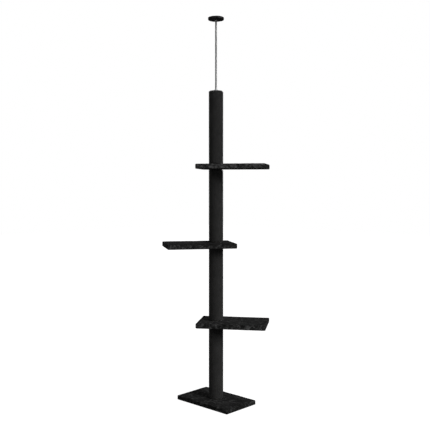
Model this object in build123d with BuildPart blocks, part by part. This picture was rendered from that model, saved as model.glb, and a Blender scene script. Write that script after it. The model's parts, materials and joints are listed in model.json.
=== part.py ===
from build123d import *

import os
from math import floor

os.makedirs("parts", exist_ok=True)

# Floor-to-ceiling cat tree. Millimetres, +Z up. The origin is the middle of the base's underside, which
# is also where the column's axis meets the floor, and +X runs along the long side of the base.

# --- Boards: the base and the three platforms share one outline ---
board_length = 413
board_width = 253
board_thickness = 22
board_corner = 3.5
plush = 4.5  # thickness of the plush, pile included
base_hem = 1  # the base's turned-under plush is pressed flat by the weight
base_hem_rounding = 0.9
hem_width = 34
panel_gap = 0.5

cover_length = board_length + 2 * plush
cover_width = board_width + 2 * plush
cover_corner = board_corner + plush
base_height = base_hem + board_thickness + plush
platform_height = 2 * plush + board_thickness

# --- Column ---
post_length = 450
post_diameter = 90
rope_diameter = 6
tube_diameter = post_diameter - 2 * rope_diameter
tube_wall = 4
plug_play = 0.1  # radial, between a plug and its tube
plug_diameter = tube_diameter - 2 * (tube_wall + plug_play)
plug_thickness = 18
rope_end_gap = 0.5

# --- Platforms: the way each one points from the column, and how far out its middle is ---
platform_yaws = {"lower_platform": 34, "middle_platform": 235, "upper_platform": 33}
platform_offset = 106.5

# --- M8 joining hardware ---
stud_diameter = 8
stud_grip = 25  # how deep a joining stud goes into each post
thread_gap = 0.05
rope_gap = 0.05
plug_hole = stud_diameter + 1
loose_hole = stud_diameter + 0.8  # lets a platform turn on its stud, and takes the base bolt's shank
cloth_hole = 12
tee_barrel_diameter = 10
tee_barrel_length = 11
tee_flange_diameter = 20
tee_flange_thickness = 1.5
bolt_head_diameter = 13
bolt_head_height = 5
bolt_washer_diameter = 24
bolt_washer_thickness = 1.5
bolt_pocket_diameter = 26
bolt_pocket_depth = 8

# --- Staples ---
staple_crown = 10
staple_leg = 10
staple_wire = 1.2
staple_pitch = 46
staple_inset = 20
staple_sink = 0.15
tube_staple_count = 4

# --- Ceiling jack: an M12 rod, a nut that turns on the column's top, and a disc on the rod's end ---
rod_diameter = 12
rod_length = 600
rod_chamfer = 1
disc_underside = 2356
disc_plush = 4
disc_board_diameter = 90
disc_board_thickness = 8
disc_diameter = disc_board_diameter + 2 * disc_plush
disc_height = disc_board_thickness + 2 * disc_plush
disc_rounding = 3.5
disc_barrel_diameter = 15
disc_flange_diameter = 30
disc_flange_thickness = 1
guide_thickness = 30
bush_diameter = 18
bush_bore = rod_diameter + 0.8
top_washer_diameter = 37
top_washer_thickness = 2
nut_across_flats = 19
nut_height = 6
nut_chamfer = 0.8

# --- Levels, from the floor up ---
names = list(platform_yaws)
platform_levels = [
    base_height + post_length + step * (platform_height + post_length) for step in range(len(names))
]
post_levels = [base_height] + [level + platform_height for level in platform_levels]
post_top = post_levels[-1] + post_length


def save(piece, label):
    piece.part.label = label
    export_step(piece.part, f"parts/{label}.step")


def make_board(plane, centre, hole):
    """A board with rounded corners and a hole on the column's axis; centre is how far out its middle is."""
    with BuildPart() as board:
        with BuildSketch(plane):
            with Locations((centre, 0)):
                RectangleRounded(board_length, board_width, board_corner)
            Circle(hole / 2, mode=Mode.SUBTRACT)
        extrude(amount=board_thickness)
    return board


def make_cover(plane, centre, hem, hem_rounding):
    """The plush over a board's top and sides, turned under as a hem round the underside."""
    with BuildPart() as cover:
        with BuildSketch(plane):
            with Locations((centre, 0)):
                RectangleRounded(cover_length, cover_width, cover_corner)
        extrude(amount=hem + board_thickness + plush)
        fillet(cover.edges().group_by(Axis.Z)[-1], plush)
        fillet(cover.edges().group_by(Axis.Z)[0], hem_rounding)
        with BuildSketch(plane.offset(hem)):
            with Locations((centre, 0)):
                RectangleRounded(board_length, board_width, board_corner)
        extrude(amount=board_thickness, mode=Mode.SUBTRACT)
        with BuildSketch(plane):
            with Locations((centre, 0)):
                Rectangle(cover_length - 2 * hem_width, cover_width - 2 * hem_width)
        extrude(amount=hem, mode=Mode.SUBTRACT)
        with BuildSketch(plane.offset(hem + board_thickness)):
            Circle(cloth_hole / 2)
        extrude(amount=plush, mode=Mode.SUBTRACT)
    return cover


def make_underside_panel(plane, centre, thickness, hole):
    """The cloth panel that closes the underside inside the hem, with a stud hole where hole isn't 0."""
    margin = hem_width + panel_gap
    with BuildPart() as panel:
        with BuildSketch(plane):
            with Locations((centre, 0)):
                Rectangle(cover_length - 2 * margin, cover_width - 2 * margin)
            if hole:
                Circle(hole / 2, mode=Mode.SUBTRACT)
        extrude(amount=thickness)
    return panel


def make_staples(planes):
    """One U-shaped staple on each plane: its crown lies along X at the origin and its legs point to -Y."""
    with BuildPart() as staples:
        with BuildSketch(*planes):
            with Locations((0, -staple_leg / 2)):
                Rectangle(staple_crown, staple_leg)
            with Locations((0, -(staple_leg + staple_wire) / 2)):
                Rectangle(staple_crown - 2 * staple_wire, staple_leg - staple_wire, mode=Mode.SUBTRACT)
        extrude(amount=staple_wire / 2, both=True)
    return staples


def hem_staple_planes(plane, centre):
    """Planes for the staples along the four sides of the underside, driven upwards into the board."""
    inner_length = cover_length - 2 * staple_inset
    inner_width = cover_width - 2 * staple_inset
    long_count = floor(inner_length / staple_pitch)
    short_count = floor(inner_width / staple_pitch)
    driven_up = Location((0, 0, 0), (-90, 0, 0))
    along_x = GridLocations(staple_pitch, inner_width, long_count, 2).local_locations
    along_y = GridLocations(inner_length, staple_pitch, 2, short_count).local_locations
    middle = plane.location * Location((centre, 0, staple_sink))
    quarter_turn = Location((0, 0, 0), (0, 0, 90))
    return [Plane(middle * spot * driven_up) for spot in along_x] + [
        Plane(middle * spot * quarter_turn * driven_up) for spot in along_y
    ]


def post_staple_planes(level):
    """Planes for the staples of one post: one on each end of the rope and a ring through each tube end."""
    driven_in = Location((0, 0, 0), (180, 0, -90))
    rope_staple = Location((post_diameter / 2 - staple_sink, 0, 0))
    first_turn = rope_end_gap + rope_diameter / 2
    rope_heights = (level + first_turn, level + post_length - first_turn)
    rope_planes = [Plane(Location((0, 0, height)) * rope_staple * driven_in) for height in rope_heights]
    ring = PolarLocations(tube_diameter / 2 - staple_sink, tube_staple_count, 45).local_locations
    ring_heights = (level + plug_thickness / 2, level + post_length - plug_thickness / 2)
    ring_planes = [
        Plane(Location((0, 0, height)) * spot * driven_in) for height in ring_heights for spot in ring
    ]
    return rope_planes + ring_planes


def make_tube(level, outer, inner, length):
    """A round sleeve standing on level."""
    with BuildPart() as tube:
        with BuildSketch(Plane.XY.offset(level)):
            Circle(outer / 2)
            Circle(inner / 2, mode=Mode.SUBTRACT)
        extrude(amount=length)
    return tube


def make_plug(face, inward):
    """A wooden plug at a tube's end. face is its outer face's height, inward +1 or -1 the way into the
    tube, and the tee nut's barrel is let into its inner face."""
    with BuildPart() as plug:
        with BuildSketch(Plane.XY.offset(face)):
            Circle(plug_diameter / 2)
            Circle(plug_hole / 2, mode=Mode.SUBTRACT)
        extrude(amount=inward * plug_thickness)
        with BuildSketch(Plane.XY.offset(face + inward * plug_thickness)):
            Circle(tee_barrel_diameter / 2)
        extrude(amount=-inward * tee_barrel_length, mode=Mode.SUBTRACT)
    return plug


def make_tee_nuts(faces):
    """The M8 tee nuts of one post: faces lists (height of the plug's inner face, way into the tube)."""
    with BuildPart() as nuts:
        for face, inward in faces:
            with BuildSketch(Plane.XY.offset(face)):
                Circle(tee_flange_diameter / 2)
            extrude(amount=inward * tee_flange_thickness)
            with BuildSketch(Plane.XY.offset(face)):
                Circle(tee_barrel_diameter / 2)
            extrude(amount=-inward * tee_barrel_length)
            with BuildSketch(Plane.XY.offset(face + inward * tee_flange_thickness)):
                Circle(stud_diameter / 2 + thread_gap)
            extrude(amount=-inward * (tee_flange_thickness + tee_barrel_length), mode=Mode.SUBTRACT)
    return nuts


# --- Base ---
with BuildPart() as base_board:
    with BuildSketch(Plane.XY.offset(base_hem)):
        RectangleRounded(board_length, board_width, board_corner)
        Circle(plug_hole / 2, mode=Mode.SUBTRACT)
    extrude(amount=board_thickness)
    with BuildSketch(Plane.XY.offset(base_hem)):
        Circle(bolt_pocket_diameter / 2)
    extrude(amount=bolt_pocket_depth, mode=Mode.SUBTRACT)
save(base_board, "base_board")
save(make_cover(Plane.XY, 0, base_hem, base_hem_rounding), "base_cover")
save(make_underside_panel(Plane.XY, 0, base_hem, 0), "base_liner")
save(make_staples(hem_staple_planes(Plane.XY, 0)), "base_staples")

pocket_top = base_hem + bolt_pocket_depth
head_top = pocket_top - bolt_washer_thickness
with BuildPart() as base_bolt:
    with BuildSketch(Plane.XY.offset(head_top - bolt_head_height)):
        RegularPolygon(bolt_head_diameter / 2, 6, major_radius=False)
    extrude(amount=bolt_head_height)
    with BuildSketch(Plane.XY.offset(head_top)):
        Circle(stud_diameter / 2)
    extrude(amount=base_height + stud_grip - head_top)
    chamfer(base_bolt.edges().filter_by(GeomType.CIRCLE).sort_by(Axis.Z)[-1], rod_chamfer)
save(base_bolt, "base_bolt")
save(make_tube(head_top, bolt_washer_diameter, loose_hole, bolt_washer_thickness), "base_washer")

# --- Posts, from the floor up: the last one carries the jack's guide in place of a top plug ---
for number, level in enumerate(post_levels, start=1):
    name = f"post_{number}"
    is_top = level == post_levels[-1]
    top = level + post_length
    save(make_tube(level, tube_diameter, tube_diameter - 2 * tube_wall, post_length), f"{name}_tube")
    rope = make_tube(
        level + rope_end_gap, post_diameter, tube_diameter + 2 * rope_gap, post_length - 2 * rope_end_gap
    )
    save(rope, f"{name}_rope")
    save(make_plug(level, 1), f"{name}_bottom_plug")
    tee_faces = [(level + plug_thickness, 1)]
    if not is_top:
        save(make_plug(top, -1), f"{name}_top_plug")
        tee_faces.append((top - plug_thickness, -1))
    save(make_tee_nuts(tee_faces), f"{name}_tee_nuts")
    save(make_staples(post_staple_planes(level)), f"{name}_staples")

with BuildPart() as joining_studs:
    for level in platform_levels:
        with BuildSketch(Plane.XY.offset(level - stud_grip)):
            Circle(stud_diameter / 2)
        extrude(amount=platform_height + 2 * stud_grip)
    chamfer(joining_studs.edges().filter_by(GeomType.CIRCLE), rod_chamfer)
save(joining_studs, "joining_studs")

# --- Platforms: each one turns about the column on its joining stud ---
for name, level in zip(names, platform_levels):
    turned = Plane(Location((0, 0, level), (0, 0, platform_yaws[name])))
    save(make_board(turned.offset(plush), platform_offset, loose_hole), f"{name}_board")
    save(make_cover(turned, platform_offset, plush, plush), f"{name}_cover")
    save(make_underside_panel(turned, platform_offset, plush, cloth_hole), f"{name}_underside")
    save(make_staples(hem_staple_planes(turned, platform_offset)), f"{name}_staples")

# --- Jack guide in the column's top ---
with BuildPart() as guide_plug:
    with BuildSketch(Plane.XY.offset(post_top)):
        Circle(plug_diameter / 2)
        Circle(bush_diameter / 2, mode=Mode.SUBTRACT)
    extrude(amount=-guide_thickness)
save(guide_plug, "guide_plug")
save(make_tube(post_top - guide_thickness, bush_diameter, bush_bore, guide_thickness), "guide_bush")
save(make_tube(post_top, top_washer_diameter, bush_bore, top_washer_thickness), "top_washer")

# --- Adjusting nut ---
nut_level = post_top + top_washer_thickness
with BuildPart() as adjusting_nut:
    with BuildSketch(Plane.XY.offset(nut_level)):
        RegularPolygon(nut_across_flats / 2, 6, major_radius=False)
        Circle(rod_diameter / 2 + thread_gap, mode=Mode.SUBTRACT)
    extrude(amount=nut_height)
    chamfer(adjusting_nut.edges().filter_by(GeomType.CIRCLE).sort_by(Axis.Z)[-1], nut_chamfer)
save(adjusting_nut, "adjusting_nut")

# --- Rod and ceiling disc ---
rod_top = disc_underside + disc_plush + disc_board_thickness
with BuildPart() as tension_rod:
    with BuildSketch(Plane.XY.offset(rod_top - rod_length)):
        Circle(rod_diameter / 2)
    extrude(amount=rod_length)
    chamfer(tension_rod.edges().filter_by(GeomType.CIRCLE), rod_chamfer)
save(tension_rod, "tension_rod")

with BuildPart() as disc_board:
    with BuildSketch(Plane.XY.offset(disc_underside + disc_plush)):
        Circle(disc_board_diameter / 2)
        Circle(disc_barrel_diameter / 2, mode=Mode.SUBTRACT)
    extrude(amount=disc_board_thickness)
    with BuildSketch(Plane.XY.offset(rod_top)):
        Circle(disc_flange_diameter / 2)
    extrude(amount=-disc_flange_thickness, mode=Mode.SUBTRACT)
save(disc_board, "disc_board")

with BuildPart() as disc_tee_nut:
    with BuildSketch(Plane.XY.offset(disc_underside + disc_plush)):
        Circle(disc_barrel_diameter / 2)
    extrude(amount=disc_board_thickness)
    with BuildSketch(Plane.XY.offset(rod_top)):
        Circle(disc_flange_diameter / 2)
    extrude(amount=-disc_flange_thickness)
    with BuildSketch(Plane.XY.offset(rod_top)):
        Circle(rod_diameter / 2 + thread_gap)
    extrude(amount=-disc_board_thickness, mode=Mode.SUBTRACT)
save(disc_tee_nut, "disc_tee_nut")

with BuildPart() as disc_cover:
    with BuildSketch(Plane.XY.offset(disc_underside)):
        Circle(disc_diameter / 2)
    extrude(amount=disc_height)
    fillet(disc_cover.edges().filter_by(GeomType.CIRCLE), disc_rounding)
    with BuildSketch(Plane.XY.offset(disc_underside + disc_plush)):
        Circle(disc_board_diameter / 2)
    extrude(amount=disc_board_thickness, mode=Mode.SUBTRACT)
    with BuildSketch(Plane.XY.offset(disc_underside)):
        Circle(disc_barrel_diameter / 2)
    extrude(amount=disc_plush, mode=Mode.SUBTRACT)
save(disc_cover, "disc_cover")
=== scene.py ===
import json
from math import atan2, ceil, cos, hypot, pi, radians, sin, sqrt

import bpy
import numpy as np
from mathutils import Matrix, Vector, noise


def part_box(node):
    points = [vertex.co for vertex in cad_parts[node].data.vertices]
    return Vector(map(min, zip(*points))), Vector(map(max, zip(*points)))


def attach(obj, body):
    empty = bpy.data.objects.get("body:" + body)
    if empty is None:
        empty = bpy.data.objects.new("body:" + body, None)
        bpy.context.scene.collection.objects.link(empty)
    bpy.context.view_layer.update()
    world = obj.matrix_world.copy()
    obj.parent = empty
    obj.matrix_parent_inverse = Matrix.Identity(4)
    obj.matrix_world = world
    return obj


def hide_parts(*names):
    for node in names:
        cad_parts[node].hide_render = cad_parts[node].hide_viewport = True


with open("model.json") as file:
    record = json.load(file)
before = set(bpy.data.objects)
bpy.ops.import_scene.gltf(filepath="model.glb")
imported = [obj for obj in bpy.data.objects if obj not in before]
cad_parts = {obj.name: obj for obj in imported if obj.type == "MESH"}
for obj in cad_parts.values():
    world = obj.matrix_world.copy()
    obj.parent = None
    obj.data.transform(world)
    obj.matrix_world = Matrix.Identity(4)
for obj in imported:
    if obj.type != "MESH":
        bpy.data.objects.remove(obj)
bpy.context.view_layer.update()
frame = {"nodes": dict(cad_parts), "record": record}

MM = 0.001
PLATFORMS = ("lower_platform", "middle_platform", "upper_platform")
POSTS = ("post_1", "post_2", "post_3", "post_4")
BLACK_WOOD = ((0.010, 0.010, 0.010), (0.030, 0.028, 0.027))
PINE = ((0.36, 0.23, 0.12), (0.62, 0.46, 0.28))

# --- Viewpoint ---
VIEW_TURN = radians(43.5)  # how far round from -Y, towards +X, the camera stands
VIEW_DISTANCE = 4.2183  # level distance from the column's axis
VIEW_HEIGHT = 1.3353
VIEW_ASIDE = 0.00624  # how far the camera stands to the left of the axis
VIEW_DIP = radians(0.602)  # how far the camera looks down
SENSOR = 36.0
LENS = 57.29
SHIFT_Y = -0.0505

# --- Plush covers ---
EDGE_ROUND = 6 * MM
CLOTH = 2.2 * MM  # thickness
HEM_WIDTH = 34 * MM
FINE_BAND = 38 * MM  # the mesh is finer this near a board's edges
FINE_STEP = 1.9 * MM
COARSE_STEP = 4 * MM
PANEL_GAP = 0.7 * MM  # between a hem's edge and the panel inside it
STAPLE_REACH = 5.5 * MM  # how far round a staple the hem is drawn in
POST_PRESS = 46 * MM  # a post's end presses the pile flat inside this radius
CLOTH_HOLE = 6 * MM
# painted light and shade per board: how much paler or darker the pile is painted on its long sides, its ends
# and its top, standing in for how the light falls on each face
PAINTED_FACE_LIGHT = {
    "base": (0.0, -0.01, 0.0),
    "lower_platform": (0.035, 0.0, 0.0),
    "middle_platform": (0.02, -0.02, -0.10),
    "upper_platform": (0.065, -0.08, -0.02),
}
DISC_HEM = 0.46  # how far the disc's round cut is gathered in below, as a share of the disc's radius
DISC_BEND = 4.2 * MM
DISC_SIDES = 168  # points round the disc
DISC_PLEATS = 14
PATCH_SIDES = 120
PATCH_LAP = 2 * MM  # how far the patch covers the gathered edge

# --- Rope ---
ROPE_RADIUS = 2.98 * MM
ROPE_STEPS = 108  # points along one turn
ROPE_SIDES = 10
STRANDS = 3
STRAND_LAY = 21 * MM
ROPE_START = radians(-16)

# --- Threaded rod ---
THREAD_PITCH = 1.75 * MM
THREAD_DEPTH = 0.9 * MM
THREAD_SIDES = 28
THREAD_FORM = ((0.0, 0.0), (0.16, 0.0), (0.5, 1.0), (0.68, 1.0))  # share of the pitch, share of the depth
NUT_SIDES = 96
NUT_CHAMFER = 0.7 * MM

# --- Light ---
WALLS = 0.50  # the surroundings' strength level with the object
CEILING = 0.08  # and straight above it
KEY = 2.7
FLOOR_SIZE = 14.0


# ------------------------------------------------------------------ mesh helpers

def mesh_piece(name, points, faces, smooth=True):
    mesh = bpy.data.meshes.new(name)
    mesh.from_pydata([tuple(p) for p in points], [], faces)
    mesh.validate()
    mesh.update()
    if smooth:
        mesh.polygons.foreach_set("use_smooth", [True] * len(mesh.polygons))
    piece = bpy.data.objects.new(name, mesh)
    bpy.context.scene.collection.objects.link(piece)
    return piece


def stand_for(piece, node, material):
    """The piece takes the CAD node's place, on its body and a material."""
    body = next(name for name, nodes in frame["record"]["behaviour"]["bodies"].items() if node in nodes)
    piece.data.materials.append(material)
    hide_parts(node)
    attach(piece, body)
    return piece


def wave(point, size, seed):
    """Smooth noise from about -1 to 1, with features of about that size."""
    return noise.noise(Vector(point) / size + Vector((seed * 7.3, seed * -3.1, seed * 5.7)))


def smooth_step(x):
    x = min(max(x, 0.0), 1.0)
    return x * x * (3 - 2 * x)


def grid_lines(half, band, fine, coarse):
    """Positions from -half to half, close together within band of either end."""
    if 2 * band >= 2 * half:
        return np.linspace(-half, half, 2 * ceil(half / fine) + 1)
    outer = np.linspace(half - band, half, ceil(band / fine) + 1)
    inner = np.linspace(band - half, half - band, 2 * ceil((half - band) / coarse) + 1)
    return np.concatenate([-outer[::-1], inner[1:-1], outer])


def box_skin(xs, ys, zs, keep):
    """Quads over a box's six sides, facing outwards, with shared corners; keep(centre, side) chooses them."""
    lines, index, points, faces = (xs, ys, zs), {}, [], []

    def corner(at):
        if at not in index:
            index[at] = len(points)
            points.append(tuple(lines[k][at[k]] for k in range(3)))
        return index[at]

    for side in range(3):
        u, v = (side + 1) % 3, (side + 2) % 3
        for end in (0, len(lines[side]) - 1):
            for i in range(len(lines[u]) - 1):
                for j in range(len(lines[v]) - 1):
                    loop = []
                    for a, b in ((i, j), (i + 1, j), (i + 1, j + 1), (i, j + 1)):
                        at = [0, 0, 0]
                        at[side], at[u], at[v] = end, a, b
                        loop.append(tuple(at))
                    middle = [sum(lines[k][at[k]] for at in loop) / 4 for k in range(3)]
                    if keep(middle, side, end > 0):
                        faces.append([corner(at) for at in (loop if end else loop[::-1])])
    return points, faces


def thicken(points, normals, depths, faces):
    """Adds an inner layer behind the faces, and a rim along the open edges, so the cloth is closed."""
    count = len(points)
    inner = [Vector(p) - Vector(n) * d for p, n, d in zip(points, normals, depths)]
    edges = {}
    for face in faces:
        for a, b in zip(face, face[1:] + face[:1]):
            edges[(a, b)] = True
    rim = [[b, a, a + count, b + count] for a, b in edges if (b, a) not in edges]
    back = [[i + count for i in reversed(face)] for face in faces]
    return [Vector(p) for p in points] + inner, faces + back + rim


def rounded(point, half, radius):
    """A point of a box's skin moved onto the box with rounded edges, and the way out there."""
    kept = [min(max(p, radius - h), h - radius) for p, h in zip(point, half)]
    out = Vector([p - k for p, k in zip(point, kept)])
    if out.length < 1e-9:
        return Vector(point), Vector((0, 0, 1))
    out.normalize()
    return Vector(kept) + out * radius, out


# ------------------------------------------------------------------ material helpers

class Shader:
    """A Principled material with short calls for the nodes that drive it."""

    def __init__(self, name, **fixed):
        self.material = bpy.data.materials.new(name)
        self.material.use_nodes = True
        self.tree = self.material.node_tree
        self.main = self.tree.nodes["Principled BSDF"]
        self.coords = self.tree.nodes.new("ShaderNodeTexCoord").outputs["Object"]
        for socket, value in fixed.items():
            self.main.inputs[socket.replace("_", " ")].default_value = value

    def link(self, source, node, socket):
        if isinstance(source, (int, float)):
            node.inputs[socket].default_value = source
        else:
            self.tree.links.new(source, node.inputs[socket])

    def stretched(self, scale, source=None):
        node = self.tree.nodes.new("ShaderNodeMapping")
        node.inputs["Scale"].default_value = scale
        self.link(source or self.coords, node, "Vector")
        return node.outputs["Vector"]

    def noise(self, size, detail=2.0, roughness=0.5, distortion=0.0, source=None):
        node = self.tree.nodes.new("ShaderNodeTexNoise")
        node.inputs["Scale"].default_value = 1 / size
        node.inputs["Detail"].default_value = detail
        node.inputs["Roughness"].default_value = roughness
        node.inputs["Distortion"].default_value = distortion
        self.link(source or self.coords, node, "Vector")
        return node.outputs["Fac"]

    def cells(self, size, source=None, output="Distance"):
        node = self.tree.nodes.new("ShaderNodeTexVoronoi")
        node.inputs["Scale"].default_value = 1 / size
        self.link(source or self.coords, node, "Vector")
        return node.outputs[output]

    def attribute(self, name):
        node = self.tree.nodes.new("ShaderNodeAttribute")
        node.attribute_name = name
        return node

    def ramp(self, source, *stops):
        """Stops are (position, grey) or (position, (r, g, b))."""
        node = self.tree.nodes.new("ShaderNodeValToRGB")
        while len(node.color_ramp.elements) < len(stops):
            node.color_ramp.elements.new(0.5)
        for element, (position, colour) in zip(node.color_ramp.elements, stops):
            element.position = position
            element.color = (*((colour,) * 3 if isinstance(colour, (int, float)) else colour), 1)
        self.link(source, node, "Fac")
        return node.outputs["Color"]

    def maths(self, operation, a, b=0.0):
        node = self.tree.nodes.new("ShaderNodeMath")
        node.operation = operation
        self.link(a, node, 0)
        self.link(b, node, 1)
        return node.outputs["Value"]

    def blend(self, a, b, mode="MULTIPLY", factor=1.0):
        node = self.tree.nodes.new("ShaderNodeMixRGB")
        node.blend_type = mode
        self.link(factor, node, "Fac")
        self.link(a, node, "Color1")
        self.link(b, node, "Color2")
        return node.outputs["Color"]

    def bump(self, *layers):
        """Layers are (height, distance in metres, strength), the broadest first."""
        normal = None
        for height, distance, strength in layers:
            node = self.tree.nodes.new("ShaderNodeBump")
            node.inputs["Distance"].default_value = distance
            node.inputs["Strength"].default_value = strength
            self.link(height, node, "Height")
            if normal is not None:
                self.link(normal, node, "Normal")
            normal = node.outputs["Normal"]
        self.link(normal, self.main, "Normal")

    def finish(self, colour, roughness):
        self.link(colour, self.main, "Base Color")
        self.link(roughness, self.main, "Roughness")
        return self.material


# ------------------------------------------------------------------ materials

def plush_material():
    """Short black pile: brushed patches that lie lighter or darker, tufts, single fibres, and painted light
    and shade set by the way each face points.
    """
    s = Shader("black_plush", Sheen_Weight=0.012, Sheen_Roughness=0.5, Specular_IOR_Level=0.02)
    brushed = s.noise(34 * MM, 5.0, 0.66, 1.2)
    streaks = s.noise(30 * MM, 3.0, 0.6, 0.5, s.stretched((1.0, 3.2, 2.4)))
    tufts = s.noise(4.5 * MM, 2.0, 0.6, 0.4)
    fibres = s.noise(0.9 * MM, 2.0, 0.7)
    nap = s.maths("ADD", s.maths("MULTIPLY", brushed, 0.6), s.maths("MULTIPLY", streaks, 0.4))
    # the painted light from each cover's faces is added to the nap here, so sides take a painted highlight
    # and tops a painted shade
    nap_with_painted_light = s.maths("ADD", nap, s.attribute("lift").outputs["Fac"])
    colour = s.ramp(nap_with_painted_light, (0.38, 0.009), (0.48, 0.017), (0.55, 0.038), (0.64, 0.110))
    colour = s.blend(colour, s.ramp(tufts, (0.30, 0.55), (0.70, 1.0)))
    colour = s.blend(colour, s.ramp(fibres, (0.25, 0.55), (0.75, 1.0)))
    s.bump((nap, 5 * MM, 0.35), (tufts, 1.4 * MM, 0.7), (fibres, 0.5 * MM, 0.8))
    return s.finish(colour, s.ramp(nap, (0.35, 0.96), (0.65, 0.82)))


def rope_material():
    """Black sisal: hard twisted fibres, painted shade in the grooves between the strands, with a few pale
    fibres.
    """
    s = Shader("black_sisal", Sheen_Weight=0.02, Specular_IOR_Level=0.12)
    along = s.tree.nodes.new("ShaderNodeUVMap")
    along.uv_map = "rope"
    fibres = s.noise(1.0, 4.0, 0.7, 0.2, s.stretched((140.0, 1500.0, 1.0), along.outputs["UV"]))
    dye = s.noise(60 * MM, 3.0, 0.6)
    groove_shade_mask = s.attribute("strand").outputs["Fac"]
    colour = s.ramp(fibres, (0.30, (0.015, 0.015, 0.015)), (0.55, (0.035, 0.0345, 0.034)),
                    (0.78, (0.090, 0.088, 0.084)))
    colour = s.blend(colour, s.ramp(dye, (0.35, 0.75), (0.65, 1.0)))
    # painted shade: the grooves between the strands are painted darker, down to 0.3, where shade would fall
    colour = s.blend(colour, s.ramp(groove_shade_mask, (0.0, 0.30), (0.6, 1.0)))
    s.bump((fibres, 0.45 * MM, 0.75))
    return s.finish(colour, s.ramp(fibres, (0.3, 0.9), (0.8, 0.68)))


def steel_material(name, tone, roughness):
    """Zinc-plated steel with a faint cloudy finish and fine drawing marks."""
    s = Shader(name, Metallic=1.0)
    cloud = s.noise(9 * MM, 3.0, 0.6)
    marks = s.noise(0.5 * MM, 2.0, 0.6, 0.0, s.stretched((1.0, 1.0, 0.12)))
    colour = s.ramp(cloud, (0.3, (tone * 0.86, tone * 0.87, tone * 0.88)), (0.7, (tone, tone, tone * 1.01)))
    s.bump((marks, 0.06 * MM, 0.4))
    return s.finish(colour, s.ramp(cloud, (0.3, roughness + 0.08), (0.7, roughness - 0.05)))


def chipboard_material():
    """Pressed wood chips of mixed browns."""
    s = Shader("chipboard", Specular_IOR_Level=0.3)
    chips = s.cells(3.4 * MM, s.stretched((1.0, 0.45, 1.6)), "Color")
    grain = s.noise(1.1 * MM, 3.0, 0.65)
    tint = s.tree.nodes.new("ShaderNodeRGBToBW")
    s.link(chips, tint, "Color")
    colour = s.ramp(tint.outputs["Val"], (0.15, (0.30, 0.19, 0.10)), (0.5, (0.50, 0.35, 0.20)),
                    (0.9, (0.66, 0.51, 0.32)))
    colour = s.blend(colour, s.ramp(grain, (0.3, 0.7), (0.7, 1.0)))
    s.bump((tint.outputs["Val"], 0.3 * MM, 0.5), (grain, 0.15 * MM, 0.5))
    return s.finish(colour, s.ramp(grain, (0.3, 0.85), (0.7, 0.65)))


def plug_material(name, dark, light, roughness):
    """Turned softwood with growth rings."""
    s = Shader(name, Specular_IOR_Level=0.3)
    rings = s.tree.nodes.new("ShaderNodeTexWave")
    rings.wave_type = "RINGS"
    rings.inputs["Scale"].default_value = 55.0
    rings.inputs["Distortion"].default_value = 3.5
    rings.inputs["Detail"].default_value = 3.0
    s.link(s.stretched((1.0, 0.6, 0.15)), rings, "Vector")
    pores = s.noise(0.8 * MM, 2.0, 0.6)
    colour = s.ramp(rings.outputs["Fac"], (0.1, dark), (0.8, light))
    colour = s.blend(colour, s.ramp(pores, (0.3, 0.75), (0.6, 1.0)))
    s.bump((rings.outputs["Fac"], 0.15 * MM, 0.3), (pores, 0.12 * MM, 0.5))
    return s.finish(colour, s.ramp(pores, (0.3, roughness + 0.15), (0.7, roughness)))


def cardboard_material():
    """Dark spiral-wound board: the winding's faint seams and a fibrous face."""
    s = Shader("wound_cardboard", Specular_IOR_Level=0.2)
    winding = s.tree.nodes.new("ShaderNodeTexWave")
    winding.bands_direction = "Z"
    winding.inputs["Scale"].default_value = 6.0
    winding.inputs["Distortion"].default_value = 0.4
    s.link(s.coords, winding, "Vector")
    fibre = s.noise(1.5 * MM, 3.0, 0.65, 0.3, s.stretched((1.0, 1.0, 0.4)))
    colour = s.ramp(fibre, (0.3, (0.012, 0.0115, 0.011)), (0.7, (0.030, 0.028, 0.0265)))
    colour = s.blend(colour, s.ramp(winding.outputs["Fac"], (0.0, 0.75), (0.2, 1.0)))
    s.bump((winding.outputs["Fac"], 0.2 * MM, 0.3), (fibre, 0.12 * MM, 0.5))
    return s.finish(colour, s.ramp(fibre, (0.3, 0.95), (0.7, 0.8)))


def liner_material():
    """Black spun-bonded cloth: matted filaments pressed with rows of small dots."""
    s = Shader("spunbond_liner", Sheen_Weight=0.1, Specular_IOR_Level=0.2)
    dots = s.cells(2.2 * MM)
    filaments = s.noise(0.7 * MM, 3.0, 0.7, 1.2)
    cloud = s.noise(35 * MM, 3.0, 0.55)
    colour = s.ramp(filaments, (0.3, 0.012), (0.7, 0.034))
    colour = s.blend(colour, s.ramp(dots, (0.05, 0.45), (0.30, 1.0)))
    colour = s.blend(colour, s.ramp(cloud, (0.35, 0.7), (0.65, 1.0)))
    s.bump((dots, 0.3 * MM, 0.5), (filaments, 0.15 * MM, 0.6))
    return s.finish(colour, s.ramp(dots, (0.05, 0.6), (0.3, 0.92)))


def nylon_material():
    """Black moulded nylon with a fine spark-eroded grain."""
    s = Shader("black_nylon", Specular_IOR_Level=0.4)
    grain = s.noise(0.35 * MM, 2.0, 0.6)
    haze = s.noise(12 * MM, 2.0, 0.5)
    s.bump((grain, 0.05 * MM, 0.5))
    return s.finish(s.ramp(haze, (0.3, 0.010), (0.7, 0.017)), s.ramp(grain, (0.3, 0.5), (0.7, 0.36)))


# ------------------------------------------------------------------ where things are

def size_of(node):
    low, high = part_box(node)
    return high - low


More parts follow.
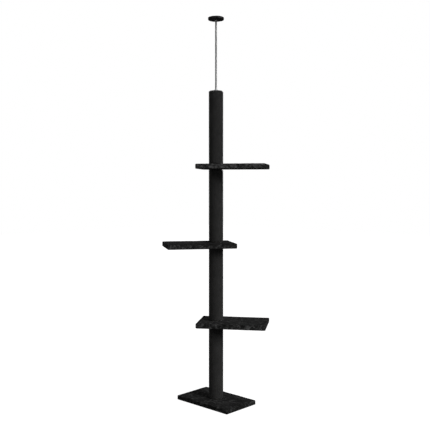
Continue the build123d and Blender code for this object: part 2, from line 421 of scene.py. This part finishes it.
class Board:
    """A covered board's place: its middle, the way it points, its underside's height and its half size."""

    def __init__(self, name):
        low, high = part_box(f"{name}_cover")
        middle = (low + high) / 2
        self.name = name
        self.reach = sqrt(middle.x ** 2 + middle.y ** 2)
        self.turn = atan2(middle.y, middle.x) if self.reach > MM else 0.0
        self.reach = self.reach if self.reach > MM else 0.0
        self.level = low.z
        full = size_of("base_cover")
        self.half = Vector((full.x / 2, full.y / 2, (high.z - low.z) / 2))
        self.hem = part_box(f"{name}_board")[0].z - low.z
        self.axis = Vector((-self.reach, 0, 0))  # the column, seen from the board's middle

    def place(self, point):
        """From the board's own middle to the row frame."""
        x, y, z = point[0] + self.reach, point[1], point[2]
        c, s = cos(self.turn), sin(self.turn)
        return Vector((c * x - s * y, s * x + c * y, z + self.half.z + self.level))

    def unplace(self, point):
        c, s = cos(self.turn), sin(self.turn)
        return Vector((c * point.x + s * point.y - self.reach, c * point.y - s * point.x,
                       point.z - self.half.z - self.level))


def loose_parts(node):
    """The middle of each separate solid in a CAD node's mesh, whose faces don't share their corners."""
    mesh = frame["nodes"][node].data
    spots = {}
    where = [spots.setdefault(tuple(round(c, 5) for c in v.co), len(spots)) for v in mesh.vertices]
    group = list(range(len(spots)))

    def root(i):
        while group[i] != i:
            group[i] = group[group[i]]
            i = group[i]
        return i

    for edge in mesh.edges:
        a, b = (root(where[i]) for i in edge.vertices)
        group[a] = b
    members = {}
    for spot, i in spots.items():
        members.setdefault(root(i), []).append(Vector(spot))
    return [sum(points, Vector()) / len(points) for points in members.values()]


# ------------------------------------------------------------------ covered boards

def pressed(board, point):
    """0 where a post's end presses the pile flat, rising to 1 a little way outside it."""
    away = (Vector((point[0], point[1], 0)) - board.axis).length
    return smooth_step((away - POST_PRESS) / (9 * MM))


def pile_relief(point, seed):
    """How far the pile stands proud or lies low, in metres."""
    return (0.75 * wave(point, 48 * MM, seed) + 0.50 * wave(point, 15 * MM, seed + 1)
            + 0.32 * wave(point, 6.5 * MM, seed + 2)) * MM


def corner_folds(point, half):
    """The creases of the cloth folded round the corners: a seam on each short side and a mitre below."""
    x, y = half.x - abs(point[0]), half.y - abs(point[1])
    depth = 0.0
    if point[2] <= -half.z + 0.1 * MM and x < HEM_WIDTH and y < HEM_WIDTH:
        depth += 1.1 * MM * np.exp(-(((x - y) / (2.2 * MM)) ** 2))
    if x < 0.5 * MM:
        depth += 0.9 * MM * np.exp(-(((y - 13 * MM) / (1.9 * MM)) ** 2))
        depth -= 0.5 * MM * np.exp(-(((y - 8 * MM) / (4 * MM)) ** 2))
    return depth


def cover_piece(board, seed, material):
    """The plush over one board: rounded edges, crushed pile, folds, stapled hem and the post's press."""
    half = board.half
    xs = grid_lines(half.x, FINE_BAND, FINE_STEP, COARSE_STEP)
    ys = grid_lines(half.y, FINE_BAND, FINE_STEP, COARSE_STEP)
    zs = grid_lines(half.z, half.z, FINE_STEP, FINE_STEP)
    opening = (half.x - HEM_WIDTH, half.y - HEM_WIDTH)

    def keep(middle, side, far_end):
        if side != 2:
            return True
        if far_end:
            return (Vector((middle[0], middle[1], 0)) - board.axis).length > CLOTH_HOLE * 0.6
        return abs(middle[0]) > opening[0] or abs(middle[1]) > opening[1]

    skin, faces = box_skin(xs, ys, zs, keep)
    staples = [board.unplace(middle) for middle in loose_parts(f"{board.name}_staples")]
    outer_cloth = min(CLOTH, board.hem * 0.8)
    points, normals, depths = [], [], []
    for corner in skin:
        point, out = rounded(corner, half, EDGE_ROUND)
        relief = pile_relief(point, seed)
        press = pressed(board, point)
        if out.z > 0.5:
            away = (Vector((point.x, point.y, 0)) - board.axis).length
            bulge = 0.9 * MM * np.exp(-(((away - POST_PRESS - 9 * MM) / (7 * MM)) ** 2))
            relief = relief * press + bulge
        below = out.z < -0.7
        if below:
            relief *= 0.5 if board.hem > 2 * MM else 0.0
            for staple in staples:
                gap = Vector((point.x - staple.x, point.y - staple.y, 0)).length
                relief -= 0.28 * board.hem * np.exp(-((gap / STAPLE_REACH) ** 2))
            if board.hem < 2 * MM:
                relief = min(relief, 0.0)
        relief -= corner_folds(corner, half) * (1.0 if board.hem > 2 * MM or not below else 0.3)
        points.append(point + out * relief)
        normals.append(out)
        depths.append(outer_cloth if below else CLOTH)
    points, faces = thicken(points, normals, depths, faces)
    cover = mesh_piece(f"{board.name}_plush", [board.place(p) for p in points], faces)
    # painted light: each point of the cover is painted paler or darker by which way its face points, standing
    # in for the light on the sides, ends and top
    face_light_levels = PAINTED_FACE_LIGHT[board.name]
    painted_light_one_layer = [face_light_levels[0] * out.y ** 2 + face_light_levels[1] * out.x ** 2 + face_light_levels[2] * max(out.z, 0) ** 2
                 for out in normals]
    lift = painted_light_one_layer * 2
    cover.data.attributes.new("lift", "FLOAT", "POINT").data.foreach_set("value", lift)
    stand_for(cover, f"{board.name}_cover", material)


def panel_piece(board, node, seed, material, relief_scale):
    """The panel that closes a board's underside: a flat cloth with soft, slightly wavy edges."""
    low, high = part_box(node)
    thickness = high.z - low.z
    half = Vector((board.half.x - HEM_WIDTH - PANEL_GAP, board.half.y - HEM_WIDTH - PANEL_GAP, thickness / 2))
    round_off = thickness * 0.45
    xs = grid_lines(half.x, 8 * MM, FINE_STEP, 1.3 * COARSE_STEP)
    ys = grid_lines(half.y, 8 * MM, FINE_STEP, 1.3 * COARSE_STEP)
    zs = np.linspace(-half.z, half.z, 4)
    skin, faces = box_skin(xs, ys, zs, lambda middle, side, far_end: True)
    drop = half.z - board.half.z  # the panel's middle, seen from the board's
    points = []
    for corner in skin:
        point, out = rounded(corner, half, round_off)
        if out.z < 0.3:
            relief = relief_scale * pile_relief((point.x, point.y, -1.0), seed) * pressed(board, point)
            relief -= 0.25 * thickness * relief_scale * pressed(board, point)
            point = point + Vector((0, 0, -1)) * relief
        edge = 0.35 * MM * wave((point.x, point.y, 0), 30 * MM, seed + 5)
        if abs(out.x) > 0.3 or abs(out.y) > 0.3:
            point = point + Vector((out.x, out.y, 0)) * edge
        points.append(board.place(point + Vector((0, 0, drop))))
    piece = mesh_piece(f"{node}_cloth", points, faces)
    stand_for(piece, node, material)


# ------------------------------------------------------------------ ceiling disc

def disc_piece(material):
    """The disc's cover: plush drawn over the rim and gathered below in shallow pleats."""
    low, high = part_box("disc_cover")
    radius, height = (high.x - low.x) / 2, high.z - low.z
    bend = DISC_BEND
    hem = (1 - DISC_HEM) * radius
    profile = [(hem + (radius - bend - hem) * i / 14, 0.0, -90.0) for i in range(14)]
    profile += [(radius - bend + bend * cos(radians(a)), bend + bend * sin(radians(a)), a)
                for a in range(-90, 1, 10)]
    profile += [(radius - bend + bend * cos(radians(a)), height - bend + bend * sin(radians(a)), a)
                for a in range(0, 91, 10)]
    profile += [((radius - bend) * (1 - i / 16), height, 90.0) for i in range(1, 16)]
    sides = DISC_SIDES
    points, normals, faces = [], [], []
    for r, z, lean in profile:
        for k in range(sides):
            turn = 2 * pi * k / sides
            out = Vector((cos(turn) * cos(radians(lean)), sin(turn) * cos(radians(lean)), sin(radians(lean))))
            at = Vector((r * cos(turn), r * sin(turn), z))
            relief = 0.6 * pile_relief(at, 31)
            if lean < -45:
                share = smooth_step((radius - r) / (0.5 * radius))
                relief += 0.55 * MM * share * cos(DISC_PLEATS * turn + 2.5 * wave(at, 40 * MM, 4))
            if lean > 80:
                relief = min(relief, 0.0) * 0.3
            points.append(at + out * relief + Vector((0, 0, low.z)))
            normals.append(out)
    rows = len(profile)
    for i in range(rows - 1):
        for k in range(sides):
            n = (k + 1) % sides
            faces.append([i * sides + k, i * sides + n, (i + 1) * sides + n, (i + 1) * sides + k])
    points.append(Vector((0, 0, high.z)))
    normals.append(Vector((0, 0, 1)))
    last = (rows - 1) * sides
    faces += [[last + k, last + (k + 1) % sides, rows * sides] for k in range(sides)]
    points, faces = thicken(points, normals, [CLOTH] * len(points), faces)
    cover = mesh_piece("disc_plush", points, faces)
    stand_for(cover, "disc_cover", material)
    # the round cut's radius is the profile's own length, from the hem's edge to the top's middle
    return cover


def disc_patch(cover, material):
    """The round patch glued over the gathered edge below the disc, with a hole for the rod."""
    low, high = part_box("disc_cover")
    bore = size_of("disc_tee_nut").x / 4
    edge = (1 - DISC_HEM) * (high.x - low.x) / 2 + PATCH_LAP
    above, below, bevel = low.z + 0.8 * MM, low.z - 1.2 * MM, 0.6 * MM
    rings = [(bore, above)]
    rings += [(bore + (edge - bevel - bore) * i / 9, below) for i in range(10)]
    rings += [(edge, below + bevel), (edge, above)]
    sides = PATCH_SIDES
    points, faces = [], []
    for r, z in rings:
        for k in range(sides):
            turn = 2 * pi * k / sides
            at = Vector((r * cos(turn), r * sin(turn), z))
            if z == below:
                at.z -= 0.25 * pile_relief(at, 37)
            points.append(at)
    for i in range(len(rings)):
        j = (i + 1) % len(rings)
        for k in range(sides):
            n = (k + 1) % sides
            faces.append([i * sides + k, i * sides + n, j * sides + n, j * sides + k])
    patch = mesh_piece("disc_patch", points, faces)
    stand_for(patch, "disc_cover", material)


# ------------------------------------------------------------------ rope wraps

def rope_piece(post, seed, material):
    """One post's rope: a close helix of three-strand rope, pressed in where a staple holds each end."""
    low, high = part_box(f"{post}_rope")
    outer = (high.x - low.x) / 2
    centre_line = outer - ROPE_RADIUS
    climb = high.z - low.z - 2 * ROPE_RADIUS
    turns = round(climb / (2 * ROPE_RADIUS)) + 2 * -ROPE_START / (2 * pi)
    rows = int(turns * ROPE_STEPS) + 1
    t = np.linspace(0.0, 1.0, rows)
    turn = ROPE_START + 2 * pi * turns * t
    arc = centre_line * (turn - ROPE_START)
    sway = np.array([wave((a * 3.0, seed, 0.5), 90 * MM, seed) for a in arc]) * 0.16 * MM
    press = 1.3 * MM * (np.exp(-(((arc - centre_line * -ROPE_START) / (7 * MM)) ** 2))
                        + np.exp(-(((arc[-1] - arc - centre_line * -ROPE_START) / (7 * MM)) ** 2)))
    around = 2 * pi * np.arange(ROPE_SIDES) / ROPE_SIDES
    strand = np.cos(STRANDS * (around[None, :] - 2 * pi * arc[:, None] / STRAND_LAY))
    section = ROPE_RADIUS * (1 - 0.055 + 0.055 * strand)
    section[0] *= 0.9
    section[-1] *= 0.9
    radial = centre_line - press[:, None] + section * np.cos(around)[None, :]
    height = low.z + ROPE_RADIUS + climb * t[:, None] + sway[:, None] + section * np.sin(around)[None, :]
    height = np.clip(height, low.z, high.z)
    points = np.stack([radial * np.cos(turn)[:, None], radial * np.sin(turn)[:, None], height], axis=-1)
    index = np.arange(rows * ROPE_SIDES).reshape(rows, ROPE_SIDES)
    ahead = np.roll(index, -1, axis=1)
    quads = np.stack([index[:-1], index[1:], ahead[1:], ahead[:-1]], axis=-1).reshape(-1, 4).tolist()
    quads += [index[0].tolist(), index[-1][::-1].tolist()]
    rope = mesh_piece(f"{post}_sisal", points.reshape(-1, 3), quads)
    # the strand lobes' height, which the sisal material uses to paint shade into the grooves between strands
    lobe = rope.data.attributes.new("strand", "FLOAT", "POINT")
    lobe.data.foreach_set("value", (0.5 + 0.5 * strand).reshape(-1))
    uv = rope.data.uv_layers.new(name="rope")
    corner = np.zeros(len(rope.data.loops), np.int32)
    rope.data.loops.foreach_get("vertex_index", corner)
    twist = (corner % ROPE_SIDES) / ROPE_SIDES
    along = arc[corner // ROPE_SIDES]
    across = twist * 2 * pi * ROPE_RADIUS - along * 0.6
    uv.data.foreach_set("uv", np.stack([along, across], axis=-1).reshape(-1))
    return stand_for(rope, f"{post}_rope", material)


# ------------------------------------------------------------------ jack hardware

def rod_piece(material):
    """The jack's rod with its M12 thread cut from end to end."""
    low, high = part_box("tension_rod")
    radius = (high.x - low.x) / 2
    turns = int((high.z - low.z) / THREAD_PITCH)
    rows = [(turn + share, depth) for turn in range(-1, turns + 1) for share, depth in THREAD_FORM]
    points, faces = [], []
    for share, depth in rows:
        for k in range(THREAD_SIDES):
            turn = 2 * pi * k / THREAD_SIDES
            z = low.z + (share + k / THREAD_SIDES) * THREAD_PITCH
            z = min(max(z, low.z), high.z)
            ends = min(z - low.z, high.z - z)
            r = radius - max(THREAD_DEPTH * depth, 1 * MM - ends)
            points.append((r * cos(turn), r * sin(turn), z))
    # the last column joins the first one pitch higher up
    step = len(THREAD_FORM)
    for i in range(len(rows) - 1):
        for k in range(THREAD_SIDES):
            if k < THREAD_SIDES - 1:
                loop = [i * THREAD_SIDES + k, i * THREAD_SIDES + k + 1,
                        (i + 1) * THREAD_SIDES + k + 1, (i + 1) * THREAD_SIDES + k]
            elif i + 1 + step < len(rows):
                loop = [i * THREAD_SIDES + k, (i + step) * THREAD_SIDES,
                        (i + 1 + step) * THREAD_SIDES, (i + 1) * THREAD_SIDES + k]
            else:
                continue
            faces.append(loop)
    for end in (0, len(rows) - 1):
        ring = [end * THREAD_SIDES + k for k in range(THREAD_SIDES)]
        faces.append(ring if end else ring[::-1])
    rod = mesh_piece("threaded_rod", points, faces)
    return stand_for(rod, "tension_rod", material)


def nut_piece(material):
    """The adjusting nut: a hexagon with both faces' corners turned off and a chamfered bore."""
    low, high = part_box("adjusting_nut")
    flats = (high.y - low.y) / 2
    bore = size_of("tension_rod").x / 2 + 0.05 * MM
    height = high.z - low.z
    sides = NUT_SIDES
    sixth = pi / 3
    mouth, face = bore + NUT_CHAMFER, 0.96 * flats
    rings = [[] for _ in range(8)]
    for k in range(sides):
        turn = 2 * pi * k / sides
        hexagon = flats / cos((turn - pi / 2 + sixth / 2) % sixth - sixth / 2)
        slope = max(hexagon - face, 0) * 0.5
        section = ((mouth, 0.0), (bore, NUT_CHAMFER), (bore, height - NUT_CHAMFER), (mouth, height),
                   (face, height), (hexagon, height - slope), (hexagon, slope), (face, 0.0))
        for ring, (r, z) in zip(rings, section):
            ring.append((r * cos(turn), r * sin(turn), low.z + z))
    points = [p for ring in rings for p in ring]
    faces = []
    for i in range(len(rings)):
        j = (i + 1) % len(rings)
        for k in range(sides):
            n = (k + 1) % sides
            faces.append([i * sides + k, j * sides + k, j * sides + n, i * sides + n])
    nut = mesh_piece("hex_nut", points, faces, smooth=False)
    return stand_for(nut, "adjusting_nut", material)


# ------------------------------------------------------------------ stage

def by_camera_ray(tree, others, camera_rays):
    """A strength that differs between what the camera sees directly and the light on the object."""
    seen = tree.nodes.new("ShaderNodeLightPath").outputs["Is Camera Ray"]
    strength = tree.nodes.new("ShaderNodeMapRange")
    if isinstance(others, (int, float)):
        strength.inputs["To Min"].default_value = others
    else:
        tree.links.new(others, strength.inputs["To Min"])
    strength.inputs["To Max"].default_value = camera_rays
    tree.links.new(seen, strength.inputs["Value"])
    return strength.outputs["Result"]


def floor_piece():
    s = Shader("studio_floor", Specular_IOR_Level=0.0)
    tone = s.noise(0.8, 2.0, 0.5)
    s.main.inputs["Emission Color"].default_value = (1, 1, 1, 1)
    s.link(by_camera_ray(s.tree, 0.0, 0.93), s.main, "Emission Strength")
    material = s.finish(s.ramp(tone, (0.3, 0.30), (0.7, 0.32)), 0.9)
    size = FLOOR_SIZE
    corners = [(-size, -size, 0), (size, -size, 0), (size, size, 0), (-size, size, 0)]
    floor = mesh_piece("studio_floor", corners, [[0, 1, 2, 3]])
    floor.data.materials.append(material)


def soft_light(name, aside, height, spread, strength):
    """A broad distant light, aside to the camera's right (degrees) and height above level (degrees)."""
    data = bpy.data.lights.new(name, "SUN")
    data.angle = radians(spread)
    data.energy = strength
    lamp = bpy.data.objects.new(name, data)
    lamp.rotation_euler = (radians(90 - height), 0, VIEW_TURN + radians(aside))
    bpy.context.scene.collection.objects.link(lamp)


def studio():
    scene = bpy.context.scene
    scene.view_settings.view_transform = "Standard"
    world = bpy.data.worlds.new("studio")
    world.use_nodes = True
    tree = world.node_tree
    back = tree.nodes["Background"]
    way = tree.nodes.new("ShaderNodeSeparateXYZ")
    tree.links.new(tree.nodes.new("ShaderNodeTexCoord").outputs["Generated"], way.inputs[0])
    dome = tree.nodes.new("ShaderNodeMapRange")
    dome.inputs["To Min"].default_value = WALLS
    dome.inputs["To Max"].default_value = CEILING
    tree.links.new(way.outputs["Z"], dome.inputs["Value"])
    tree.links.new(by_camera_ray(tree, dome.outputs["Result"], 1.0), back.inputs["Strength"])
    back.inputs["Color"].default_value = (1, 1, 1, 1)
    scene.world = world
    soft_light("key", 46, 27, 24, KEY)


def camera():
    data = bpy.data.cameras.new("view")
    data.sensor_fit = "HORIZONTAL"
    data.sensor_width = SENSOR
    data.lens = LENS
    data.shift_y = SHIFT_Y
    data.clip_end = 60
    eye = bpy.data.objects.new("view", data)
    ahead = Vector((-sin(VIEW_TURN), cos(VIEW_TURN), 0))
    right = Vector((cos(VIEW_TURN), sin(VIEW_TURN), 0))
    eye.location = -ahead * VIEW_DISTANCE - right * VIEW_ASIDE + Vector((0, 0, VIEW_HEIGHT))
    eye.rotation_euler = (pi / 2 - VIEW_DIP, 0, VIEW_TURN)
    bpy.context.scene.collection.objects.link(eye)
    bpy.context.scene.camera = eye


# ------------------------------------------------------------------ the object

camera()
studio()
floor_piece()

plush = plush_material()
rope = rope_material()
steel = steel_material("zinc_steel", 0.44, 0.34)
boards = {name: Board(name) for name in ("base",) + PLATFORMS}
for seed, board in enumerate(boards.values(), start=1):
    cover_piece(board, 10 * seed, plush)
for seed, name in enumerate(PLATFORMS, start=1):
    panel_piece(boards[name], f"{name}_underside", 50 + seed, plush, 0.8)
panel_piece(boards["base"], "base_liner", 60, liner_material(), 0.0)
for seed, post in enumerate(POSTS, start=1):
    rope_piece(post, 70 + seed, rope)
disc_patch(disc_piece(plush), plush)
rod_piece(steel)
nut_piece(steel)

finishes = {
    "board": chipboard_material(),
    "plug": plug_material("turned_pine", *PINE, 0.6),
    "black_plug": plug_material("blackened_pine", *BLACK_WOOD, 0.6),
    "tube": cardboard_material(),
    "zinc": steel,
    "bush": nylon_material(),
}
slots = {part["node"]: part["material_slot"] for part in frame["record"]["subparts"]}
for node, piece in frame["nodes"].items():
    if slots[node] in finishes:
        for place in piece.material_slots:
            place.material = finishes[slots[node]]
